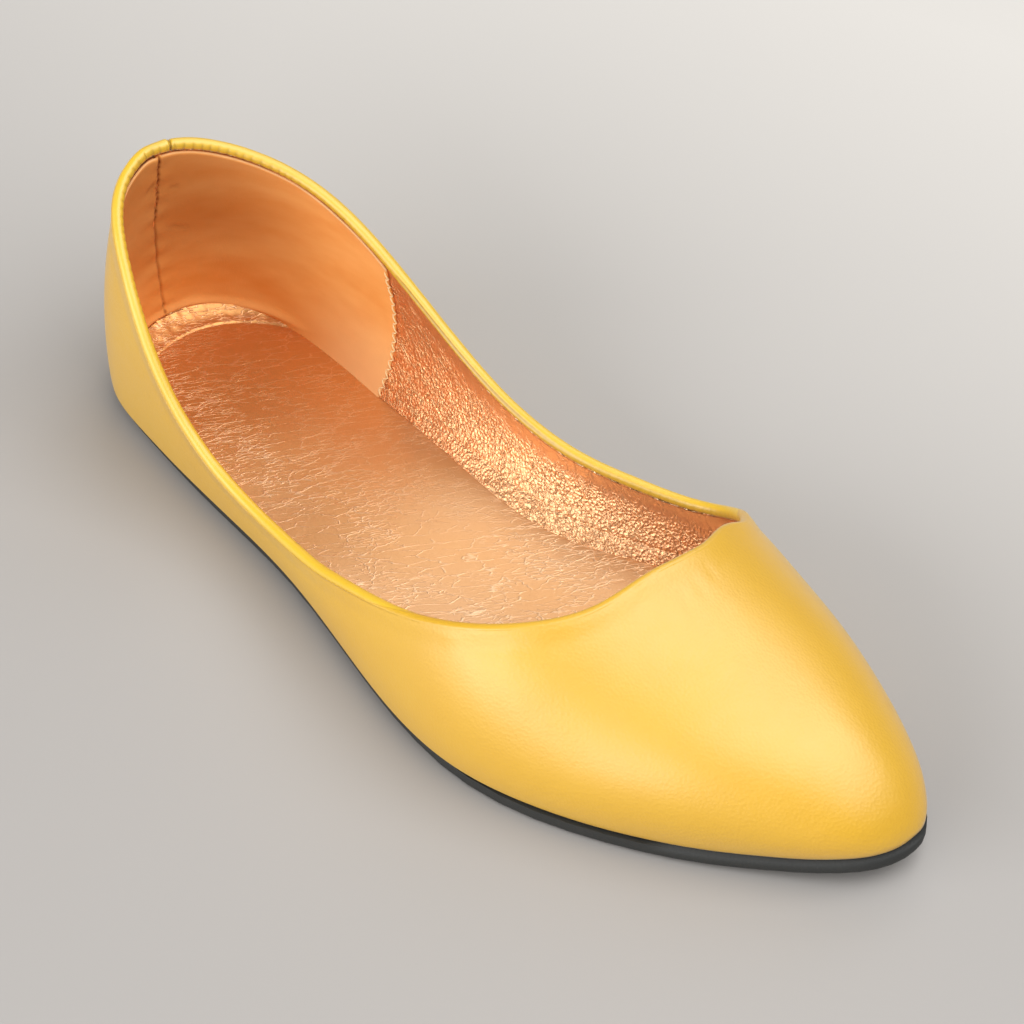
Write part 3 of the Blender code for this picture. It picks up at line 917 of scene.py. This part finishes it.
def suede(name, dark, light):
    """Tan suede: no gloss, a short nap brushed along the heel, a soft sheen at its edges, and painted shade
    and light from the shade attribute.
    """
    nap = new_material(name)
    place = add_node(nap, "TexCoord", {}).outputs["Object"]
    brushed_place = add_node(
        nap, "Mapping", {"Vector": place, "Scale": NAP_STREAK}, vector_type="TEXTURE"
    ).outputs["Vector"]
    brushed = add_node(
        nap, "TexNoise", {"Vector": brushed_place, "Scale": 1.0, "Detail": 5.0}
    ).outputs["Fac"]
    fibres = add_node(
        nap, "TexNoise", {"Vector": place, "Scale": 1 / NAP_FIBRE, "Detail": 3.0}
    ).outputs["Fac"]
    mottle = add_node(
        nap, "MapRange", {"Value": brushed, "From Min": 0.3, "From Max": 0.75, "To Min": 0.0, "To Max": 1.0}
    ).outputs["Result"]
    ground = add_node(nap, "Mix", {0: mottle, 6: srgb(dark), 7: srgb(light)}, data_type="RGBA").outputs[2]
    bump = add_node(nap, "Bump", {"Height": fibres, "Strength": 0.35, "Distance": NAP_DEPTH})
    shader = add_node(
        nap,
        "BsdfPrincipled",
        {
            "Base Color": shaded(nap, ground, SUEDE_PAINTED_SHADE, SUEDE_PALE),
            "Roughness": 0.95,
            "IOR": 1.4,
            "Normal": bump.outputs["Normal"],
            "Sheen Weight": 0.15,
            "Sheen Roughness": 0.6,
            "Sheen Tint": srgb(SUEDE_SHEEN),
        },
    )
    add_node(nap, "OutputMaterial", {"Surface": shader.outputs["BSDF"]})
    return nap


up_rows = np.linspace(GRIP_FOOT, 1, GRIP_ROWS)
inner_front = grip_front(up_rows, -1)
outer_front = grip_front(up_rows, 1)
share = np.linspace(0, 1, GRIP_COLUMNS)
share = share + GRIP_COLUMNS_CROWD * np.sin(2 * math.pi * share) / (2 * math.pi)
around = inner_front[:, None] + (outer_front - inner_front)[:, None] * share[None]
points = np.zeros(around.shape + (3,))
outwards = np.zeros_like(points)
for row, up in enumerate(up_rows):
    row_points, row_outwards = skin(around[row], np.full((GRIP_COLUMNS, 1), up))
    points[row] = row_points[:, 0]
    outwards[row] = row_outwards[:, 0]
forwards, height = points[..., 0], points[..., 2]
at_back = forwards < GRIP_BACK
heights, sides = np.array(SEAM_PATH).T
seam_away = np.where(at_back, points[..., 1] - np.interp(height, heights, sides), 1.0)
in_seam = gauss(seam_away, SEAM_HALF)
stitches = gauss(seam_away, HOLE_HALF) * soft(np.cos(2 * math.pi * height / STITCH_STEP))
hole = soft((height - STITCHED_FROM) / STITCHED_FADE) * stitches
low_hole = soft((STITCHED_LOW_TO - height) / STITCHED_LOW_FADE) * stitches
above_foot = soft((height - SEAM_FOOT) / SEAM_FOOT_FADE)
groove = -above_foot * (SEAM_GROOVE * in_seam + HOLE_DEPTH * (hole + low_hole))
flap = above_foot * FLAP * np.exp(-np.clip(-seam_away, 0, None) / FLAP_REACH) * (seam_away < 0) * at_back
puckers = SEAM_PUCKER * gauss(seam_away, SEAM_PUCKER_REACH) * np.sin(2 * math.pi * height / SEAM_PUCKER_STEP)
waves = SUEDE_WAVE * wander(points * np.array(SUEDE_WAVE_STRETCH), SUEDE_WAVE_LUMP, seed=5.0)
hem_x, hem_z = np.array(HEM_PATH).T
hem_height = np.interp(forwards, hem_x, hem_z)
hem = gauss(height - hem_height, HEM_HALF) * soft((HEM_FRONT - forwards) / HEM_FADE)
marks = np.array([crease_depth(points, outwards, mark) / abs(mark.depth) for mark in GRIP_MARKS])
mark_depths = np.array([mark.depth for mark in GRIP_MARKS])
mark_depth = np.tensordot(mark_depths, marks, 1)
depth = GRIP_DEPTH + groove + flap + puckers + waves + HEM_RISE * hem - mark_depth
points = points - depth[..., None] * outwards
forwards, height = points[..., 0], points[..., 2]
under_hem = soft((hem_height - UNDER_HEM - height) / UNDER_HEM_EDGE)
under_hem = under_hem * soft((UNDER_HEM_FRONT - forwards) / UNDER_HEM_FADE)
to_top = np.linalg.norm(points - points[-1:], axis=-1)
# Painted shade in the seam, holes and dents and under the hem; painted light on the raised hem; the cut top
# paler.
shade = -SEAM_DARK * in_seam - HOLE_DARK * hole - LOW_HOLE_DARK * low_hole
shade -= MARK_DARK * np.tensordot(mark_depths > 0, marks, 1)
shade += HEM_PALE * hem - UNDER_HEM_DARK * under_hem + TOP_PALE * soft(1 - to_top / TOP_PALE_REACH)
# Painted shade towards the back and painted light towards the low front.
backwards = soft((BACK_DARK_FROM - forwards) / BACK_DARK_FADE)
shade -= BACK_DARK * backwards * soft((height - BACK_DARK_FOOT) / BACK_DARK_FOOT_FADE)
towards_front = soft((forwards - FRONT_PALE_FROM) / FRONT_PALE_FADE)
shade += FRONT_PALE * towards_front * soft((FRONT_PALE_TOP - height) / FRONT_PALE_TOP_FADE)
shade = np.clip(shade, -1, 1)
grip = cut_panel("heel_grip_suede", points[:, ::-1], closed=False, shade=shade[:, ::-1])
thicken(grip, GRIP_THICKNESS)
grip.data.materials.append(suede("tan_suede", SUEDE, SUEDE_LIGHT))
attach(grip, "root")

# Zigzag stitching
# Waxed thread that holds the grip's front edges down to the foil, in one zigzag from the sock to the topline
# on each side. It is pale, with a dull waxy shine, and dips into the suede at each turn.
THREAD_RADIUS = 0.00021
THREAD_GOLD = "#FAD9A0"
ZIGZAG_HALF = 0.00065
ZIGZAG_STEP = 0.0014
ZIGZAG_BACK = 0.0002
ZIGZAG_DEPTH = 0.00012
ZIGZAG_ARCH = 0.00030
ZIGZAG_ROWS = slice(12, GRIP_ROWS - 4)
thread_wax = new_material("waxed_thread")
thread_shader = add_node(
    thread_wax, "BsdfPrincipled", {"Base Color": srgb(THREAD_GOLD), "Roughness": 0.45, "Sheen Weight": 0.3}
)
add_node(thread_wax, "OutputMaterial", {"Surface": thread_shader.outputs["BSDF"]})


def zigzag(name, points, outwards, forwards):
    """A thread that crosses a line from side to side as it follows it, and dips in at each turn."""
    length = run_length(points)
    count = int(length[-1] / ZIGZAG_STEP)
    at = np.linspace(0, length[-1], 3 * count + 1)
    centre, lift, ahead = [
        np.stack([np.interp(at, length, values[:, i]) for i in range(3)], axis=-1)
        for values in (points, outwards, forwards)
    ]
    phase = np.arange(len(at)) / 3 * math.pi
    across = ZIGZAG_HALF * np.cos(phase)
    dip = ZIGZAG_DEPTH - ZIGZAG_ARCH * np.abs(np.cos(phase)) ** 6
    path = centre + across[:, None] * ahead - dip[:, None] * lift
    bpy.ops.object.select_all(action="DESELECT")
    bpy.ops.curve.primitive_nurbs_path_add()
    thread = bpy.context.object
    thread.name = name
    thread.data.splines.clear()
    run = thread.data.splines.new("POLY")
    run.points.add(len(path) - 1)
    run.points.foreach_set("co", np.column_stack([path, np.ones(len(path))]).astype(np.float32).ravel())
    thread.data.bevel_depth = THREAD_RADIUS
    thread.data.bevel_resolution = 1
    thread.data.use_fill_caps = True
    bpy.ops.object.convert(target="MESH")
    bpy.ops.object.shade_smooth()
    thread.data.materials.append(thread_wax)
    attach(thread, "root")


for name, column, behind in (("inner_zigzag_stitching", 0, 2), ("outer_zigzag_stitching", -1, -3)):
    edge = points[ZIGZAG_ROWS, column]
    ahead = unit(edge - points[ZIGZAG_ROWS, behind])
    zigzag(name, edge - ZIGZAG_BACK * ahead, outwards[ZIGZAG_ROWS, column], ahead)

# Sock
# The insole's cover: the same copper foil on kid, over a thin foam, glued down inside the lining. Long wear
# wrinkles cross it aslant. At the seat a strip of it curls up the wall, crumpled, and ends in a low step.
SOCK_COLUMNS = 420
SOCK_END = 0.2
SOCK_ROWS = 100
SOCK_ROWS_CROWD = 0.06
SOCK_INSET = 0.0019
SOCK_THICKNESS = 0.0014
SOCK_ROUNDING = 0.0012
SOCK_TOP = 0.0024
WALL_UP = 0.3
WALL_ROWS = 13
SOCK_LAY = math.radians(54)
WORN_COPPER = "#DB9E5E"
WORN_ROSE = "#DCB188"
# The gold is a painted glint along the wrinkle lines.
SOCK_GLINT_GOLD = "#FAD6AC"

# The strip at the seat: how it curls up the wall, and its crumples and step.
CURL_HEIGHT = 0.0031
CURL_WIDTH = 0.0080
CURL_LEAST = 0.05
CURL_HOLLOW = 1.8
CURL_FADE = (-0.122, -0.096)
STRIP_STEP = 0.0004
STRIP_EDGE = 0.0003
STRIP_END = 0.15
STRIP_CRUMPLE = 0.00019
STRIP_LUMP = 0.0019
STRIP_STRETCH = (0.6, 1.0, 1.0)
STRIP_SHADE = 0.25

# The wear wrinkles, deepest on the outer side and under the ball of the foot.
WRINKLE = 0.00004
WRINKLE_LONG = 0.013
WRINKLE_SHORT = 0.0032
RIDGE_SHARE = 0.7
RIPPLE_SHARE = 0.5
RIPPLE_STRETCH = (1.0, 2.1, 1.0)
WORN_LEAST = 0.42
WORN_OUTER_TO = 0.006
WORN_OUTER_FADE = 0.02
WORN_BALL_FROM = -0.03
WORN_BALL_FADE = 0.04
SHADE_MOST = 1.1

rays = np.linspace(SOCK_END, RAYS / 2 - SOCK_END, SOCK_COLUMNS)
low_rows = np.linspace(0, WALL_UP, WALL_ROWS)
feet = []
for side_rays in (rays, RAYS - rays):
    side_points, side_outwards = skin(side_rays, np.tile(low_rows, (SOCK_COLUMNS, 1)))
    foot = side_points[:, 0].copy()
    for ray, ray_points in enumerate(side_points):
        rise = ray_points[:, 2] - ray_points[0, 2]
        foot[ray, 0] = np.interp(SOCK_TOP, rise, ray_points[:, 0])
        foot[ray, 1] = np.interp(SOCK_TOP, rise, ray_points[:, 1])
    level = side_outwards[:, 0] * np.array([1, 1, 0])
    feet.append(foot - SOCK_INSET * unit(level))
outer_foot, inner_foot = feet
share = np.linspace(0, 1, SOCK_ROWS)
share = share - SOCK_ROWS_CROWD * np.sin(2 * math.pi * share)
points = outer_foot[None] + (inner_foot - outer_foot)[None] * share[:, None, None]
width = np.linalg.norm(inner_foot - outer_foot, axis=1)[None]
from_edge = np.minimum(share[:, None], 1 - share[:, None]) * width
heel = slice(0, SOCK_COLUMNS // 3)
heel_line = np.concatenate([outer_foot[heel][::-1], inner_foot[heel]])
to_line = np.linalg.norm(points[:, heel, None, :2] - heel_line[None, None, :, :2], axis=-1).min(axis=-1)
plan_away = from_edge.copy()
plan_away[:, heel] = np.minimum(from_edge[:, heel], to_line)
edge_drop = SOCK_ROUNDING * (1 - np.sqrt(1 - np.clip(1 - plan_away / SOCK_ROUNDING, 0, 1) ** 2)) * 0.5
curl_share = soft((CURL_FADE[1] - points[..., 0]) / (CURL_FADE[1] - CURL_FADE[0]))
curl_width = CURL_WIDTH * np.maximum(curl_share, CURL_LEAST)
curl = CURL_HEIGHT * curl_share * np.clip(1 - plan_away / curl_width, 0, 1) ** CURL_HOLLOW
strip = soft((curl_width - plan_away) / STRIP_EDGE + 0.5) * soft(curl_share / STRIP_END)
aslant = np.stack([
    (points[..., 0] * math.cos(SOCK_LAY) + points[..., 1] * math.sin(SOCK_LAY)) / WRINKLE_LONG,
    (points[..., 1] * math.cos(SOCK_LAY) - points[..., 0] * math.sin(SOCK_LAY)) / WRINKLE_SHORT,
    0 * points[..., 2],
], axis=-1)
outer_side = soft((WORN_OUTER_TO - points[..., 1]) / WORN_OUTER_FADE)
under_ball = soft((points[..., 0] - WORN_BALL_FROM) / WORN_BALL_FADE)
# The wear also sets how strong the painted glints on the wrinkle lines are.
wear_and_painted_light = WORN_LEAST + (1 - WORN_LEAST) * np.maximum(outer_side, under_ball)
ridges = 1 - 2 * np.abs(wander(aslant, 1.0, seed=7.0))
ripples = 1 - 2 * np.abs(wander(aslant * np.array(RIPPLE_STRETCH), 1.0, seed=9.0))
wrinkles = WRINKLE * wear_and_painted_light * (RIDGE_SHARE * ridges + RIPPLE_SHARE * ripples)
crumple = strip * STRIP_CRUMPLE * wander(points * np.array(STRIP_STRETCH), STRIP_LUMP, seed=11.0)
points[..., 2] += SOCK_TOP - edge_drop + curl + wrinkles * (1 - strip) + crumple + STRIP_STEP * strip
shade = np.clip(wear_and_painted_light + STRIP_SHADE * strip, 0, SHADE_MOST)
sock = cut_panel("sock_foil", points, closed=False, shade=shade)
pick(sock)
bpy.ops.object.mode_set(mode="EDIT")
bpy.ops.mesh.select_all(action="SELECT")
bpy.ops.mesh.normals_make_consistent(inside=False)
bpy.ops.object.mode_set(mode="OBJECT")
thicken(sock, SOCK_THICKNESS, even=False)
sock.data.materials.append(
    copper_foil(
        "copper_foil_sock",
        dark=(WORN_COPPER, WORN_ROSE),
        light=SOCK_GLINT_GOLD,
        turn=(0, 0, SOCK_LAY),
        long=0.0038,
        short=0.0010,
        pebble=0.0011,
        pebble_share=0.16,
        relief=0.00006,
        glint=0.8,
        metallic=0.72,
        roughness=0.36,
    )
)
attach(sock, "root")
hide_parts("insole")

# Outsole
# A thin moulded sole of black rubber, glued on under the upper: matte, with a fine moulded grain and a
# rounded lower edge. It touches the floor at the seat and the ball, and its rim shows at the outer waist.
SOLE_FLARE = 0.0006
SOLE_FLARE_FROM = 0.010
SOLE_FLARE_FADE = 0.015
WAIST_BACK = -0.115
WAIST_FRONT = 0.070
WAIST_FADE = 0.05
SOLE_EDGE_ANGLE = math.radians(40)

# The mould's grain is about 0.2 mm, too fine to show, so it is drawn 0.6 mm wide.
RUBBER_BLACK = "#242524"
RUBBER_DUSTY = "#343533"
RUBBER_GRAIN = 0.0006
RUBBER_GRAIN_DEPTH = 0.0003
DUST_PATCH = 0.02


def moulded_rubber(name, colour, dusty):
    """Black rubber from a blasted mould: dull, with an even fine grain and dusty lighter patches."""
    rubber = new_material(name)
    place = add_node(rubber, "TexCoord", {}).outputs["Object"]
    grain = add_node(
        rubber, "TexNoise", {"Vector": place, "Scale": 1 / RUBBER_GRAIN, "Detail": 2.0}
    ).outputs["Fac"]
    dust = add_node(
        rubber, "TexNoise", {"Vector": place, "Scale": 1 / DUST_PATCH, "Detail": 4.0}
    ).outputs["Fac"]
    tint = add_node(rubber, "Mix", {0: dust, 6: srgb(colour), 7: srgb(dusty)}, data_type="RGBA").outputs[2]
    bump = add_node(rubber, "Bump", {"Height": grain, "Strength": 0.4, "Distance": RUBBER_GRAIN_DEPTH})
    shader = add_node(
        rubber,
        "BsdfPrincipled",
        {"Base Color": tint, "Roughness": 0.62, "IOR": 1.5, "Normal": bump.outputs["Normal"]},
    )
    add_node(rubber, "OutputMaterial", {"Surface": shader.outputs["BSDF"]})
    return rubber


cad_sole = frame["nodes"]["outsole"]
sole = cad_sole.copy()
sole.data = cad_sole.data.copy()
sole.name = "rubber_sole"
bpy.context.collection.objects.link(sole)
for key in list(sole.keys()):
    del sole[key]
sole.parent = None
corners = np.zeros((len(sole.data.vertices), 3), dtype=np.float32)
sole.data.vertices.foreach_get("co", corners.reshape(-1))
at_waist = soft((corners[:, 0] - WAIST_BACK) / WAIST_FADE)
at_waist = at_waist * soft((WAIST_FRONT - corners[:, 0]) / WAIST_FADE)
on_outer_rim = soft((-corners[:, 1] - SOLE_FLARE_FROM) / SOLE_FLARE_FADE)
corners[:, 1] -= SOLE_FLARE * at_waist * on_outer_rim
sole.data.vertices.foreach_set("co", corners.reshape(-1))
pick(sole)
bpy.ops.object.mode_set(mode="EDIT")
bpy.ops.mesh.select_all(action="SELECT")
bpy.ops.mesh.remove_doubles(threshold=WELD)
bpy.ops.object.mode_set(mode="OBJECT")
bpy.ops.object.shade_smooth_by_angle(angle=SOLE_EDGE_ANGLE)
sole.data.materials.clear()
sole.data.materials.append(moulded_rubber("black_rubber", RUBBER_BLACK, RUBBER_DUSTY))
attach(sole, "root")
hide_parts("outsole")

# Floor, light and camera
# A plain matt paper sweep, with painted light making it a little paler towards the back, under a soft
# overhead box. One softbox stands low on the outer side and one behind. The camera keeps the photograph's
# place and angle to the shoe.
FLOOR_SIZE = 6
FLOOR_GREY = "#ABA7A3"
# The paler grey towards the back is painted light.
FLOOR_LIT_PALE = "#D6D2CC"
FLOOR_BACKWARDS = (-0.30, 0.95, 0.0)
FLOOR_PALE_AT = 0.25
ROOM_WHITE = (0.96, 0.97, 1.0, 1)
ROOM_STRENGTH = 0.20
CAMERA_PLACE = Vector((0.42068, -0.41350, 0.69285))
CAMERA_TARGET = Vector((-0.005, 0.012, 0.020))
CAMERA_LENS = 129

bpy.ops.object.select_all(action="DESELECT")
bpy.ops.mesh.primitive_plane_add(size=FLOOR_SIZE, location=(0, 0, 0))
floor = bpy.context.object
floor.name = "floor"
paper = new_material("matt_paper")
paper_place = add_node(paper, "TexCoord", {}).outputs["Object"]
away = add_node(
    paper, "VectorMath", {0: paper_place, 1: FLOOR_BACKWARDS}, operation="DOT_PRODUCT"
).outputs["Value"]
paler = add_node(
    paper,
    "MapRange",
    {"Value": away, "From Min": 0.0, "From Max": FLOOR_PALE_AT, "To Min": 0.0, "To Max": 1.0},
).outputs["Result"]
paper_colour = add_node(
    paper, "Mix", {0: paler, 6: srgb(FLOOR_GREY), 7: srgb(FLOOR_LIT_PALE)}, data_type="RGBA"
).outputs[2]
paper_shader = add_node(paper, "BsdfPrincipled", {"Base Color": paper_colour, "Roughness": 0.8})
add_node(paper, "OutputMaterial", {"Surface": paper_shader.outputs["BSDF"]})
floor.data.materials.append(paper)


def softbox(name, place, target, size, watts):
    """A rectangular soft light at a place, turned to its target."""
    light = bpy.data.lights.new(name, "AREA")
    light.shape = "RECTANGLE"
    light.size, light.size_y = size
    light.energy = watts
    lamp = bpy.data.objects.new(name, light)
    lamp.location = place
    lamp.rotation_euler = (Vector(target) - Vector(place)).to_track_quat("-Z", "Y").to_euler()
    bpy.context.collection.objects.link(lamp)


softbox("overhead", place=(0.54, 0.18, 1.25), target=(0.02, 0, 0), size=(1.6, 1.2), watts=20)
softbox("outer_side", place=(-0.18, -1.32, 0.52), target=(0, 0, 0.02), size=(1.8, 1.0), watts=20.5)
softbox("behind", place=(-0.50, 0.95, 1.15), target=(0, 0, 0), size=(1.0, 0.8), watts=4.5)
world = bpy.data.worlds.new("studio")
world.use_nodes = True
world.node_tree.nodes["Background"].inputs["Color"].default_value = ROOM_WHITE
world.node_tree.nodes["Background"].inputs["Strength"].default_value = ROOM_STRENGTH
bpy.context.scene.world = world

lens = bpy.data.cameras.new("camera")
lens.lens = CAMERA_LENS
lens.clip_start = 0.05
lens.clip_end = 20
camera = bpy.data.objects.new("camera", lens)
camera.location = CAMERA_PLACE
camera.rotation_euler = (CAMERA_TARGET - CAMERA_PLACE).to_track_quat("-Z", "Y").to_euler()
bpy.context.collection.objects.link(camera)
bpy.context.scene.camera = camera
bpy.context.scene.view_settings.view_transform = "Standard"
